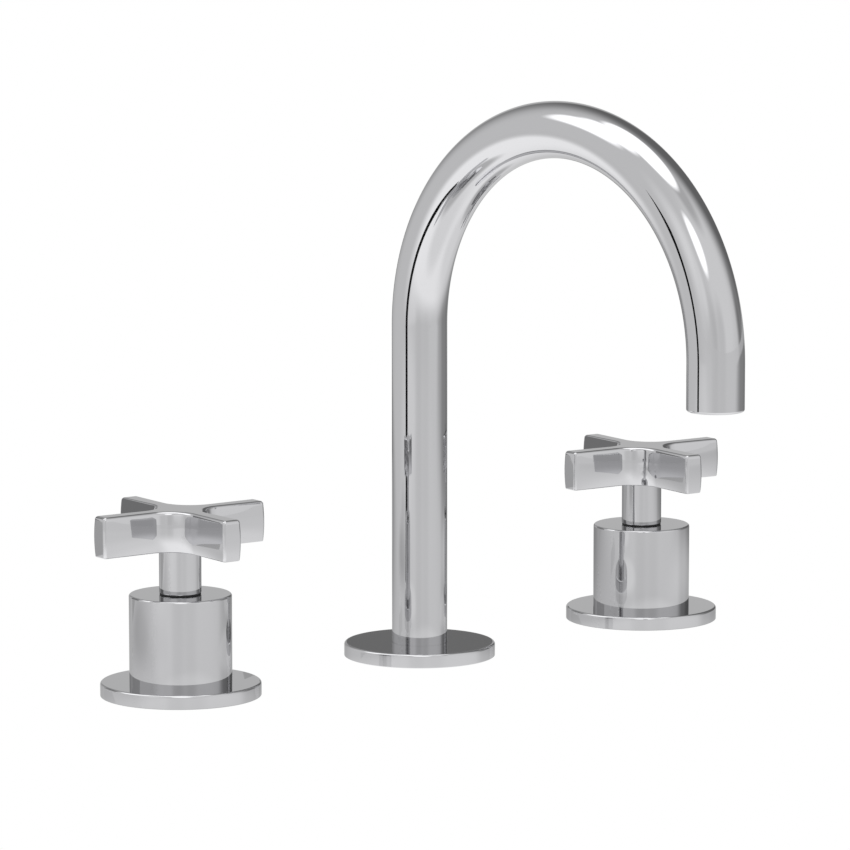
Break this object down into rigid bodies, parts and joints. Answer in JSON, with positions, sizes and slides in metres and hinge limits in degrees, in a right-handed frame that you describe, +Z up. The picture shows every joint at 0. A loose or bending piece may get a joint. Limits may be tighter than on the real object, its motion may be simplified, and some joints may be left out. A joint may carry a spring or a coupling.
{
  "type": "widespread basin faucet",
  "caption": "Basin faucet in separate units: a tall gooseneck spout between a hot and a cold valve with four-armed cross handles, all chrome, with shanks and nuts below the deck.",
  "frame": {"origin": "on the axis of the spout, at the top of the deck", "axes": "+Z up, +Y towards the wall behind the basin, +X to the user's right; the hot valve is at -X and the cold valve at +X"},
  "size_m": [0.2637, 0.1739, 0.2674],
  "materials": {
    "chrome_plate": "polished",
    "brass": "satin",
    "steel": "satin",
    "white_plastic": "matte",
    "white_ceramic": "satin",
    "black_rubber": "matte"
  },
  "bodies": {
    "deck_set": {"hot_flange": "chrome_plate", "hot_bonnet": "chrome_plate", "hot_valve_body": "brass", "hot_seat_seal": "black_rubber", "hot_fixed_disc": "white_ceramic", "hot_cartridge_housing": "brass", "hot_housing_seal": "black_rubber", "hot_cartridge_nut": "brass", "cold_flange": "chrome_plate", "cold_bonnet": "chrome_plate", "cold_valve_body": "brass", "cold_seat_seal": "black_rubber", "cold_fixed_disc": "white_ceramic", "cold_cartridge_housing": "brass", "cold_housing_seal": "black_rubber", "cold_cartridge_nut": "brass", "flange_gaskets": "black_rubber", "rubber_deck_washers": "black_rubber", "steel_deck_washers": "steel", "locknuts": "brass", "spout_flange": "chrome_plate", "spout_tube": "chrome_plate", "spout_base": "brass", "tee": "brass", "tee_gasket": "black_rubber", "outlet_ring": "brass", "aerator_cup": "white_plastic", "aerator_screen": "steel", "flow_disc": "white_plastic", "aerator_gasket": "black_rubber"},
    "hot_handle": {"hot_cross_handle": "chrome_plate", "hot_handle_sleeve": "chrome_plate", "hot_handle_screw": "steel", "hot_set_screw": "steel", "hot_spline_adapter": "white_plastic", "hot_spindle": "brass", "hot_spindle_seal": "black_rubber", "hot_moving_disc": "white_ceramic"},
    "cold_handle": {"cold_cross_handle": "chrome_plate", "cold_handle_sleeve": "chrome_plate", "cold_handle_screw": "steel", "cold_set_screw": "steel", "cold_spline_adapter": "white_plastic", "cold_spindle": "brass", "cold_spindle_seal": "black_rubber", "cold_moving_disc": "white_ceramic"}
  },
  "joints": [
    {"name": "hot_handle_turn", "type": "hinge", "parent": "deck_set", "child": "hot_handle", "pos_m": [-0.1016, 0, 0], "axis": [0, 0, 1], "range_deg": [0, 90]},
    {"name": "cold_handle_turn", "type": "hinge", "parent": "deck_set", "child": "cold_handle", "pos_m": [0.1016, 0, 0], "axis": [0, 0, 1], "range_deg": [-90, 0]}
  ]
}
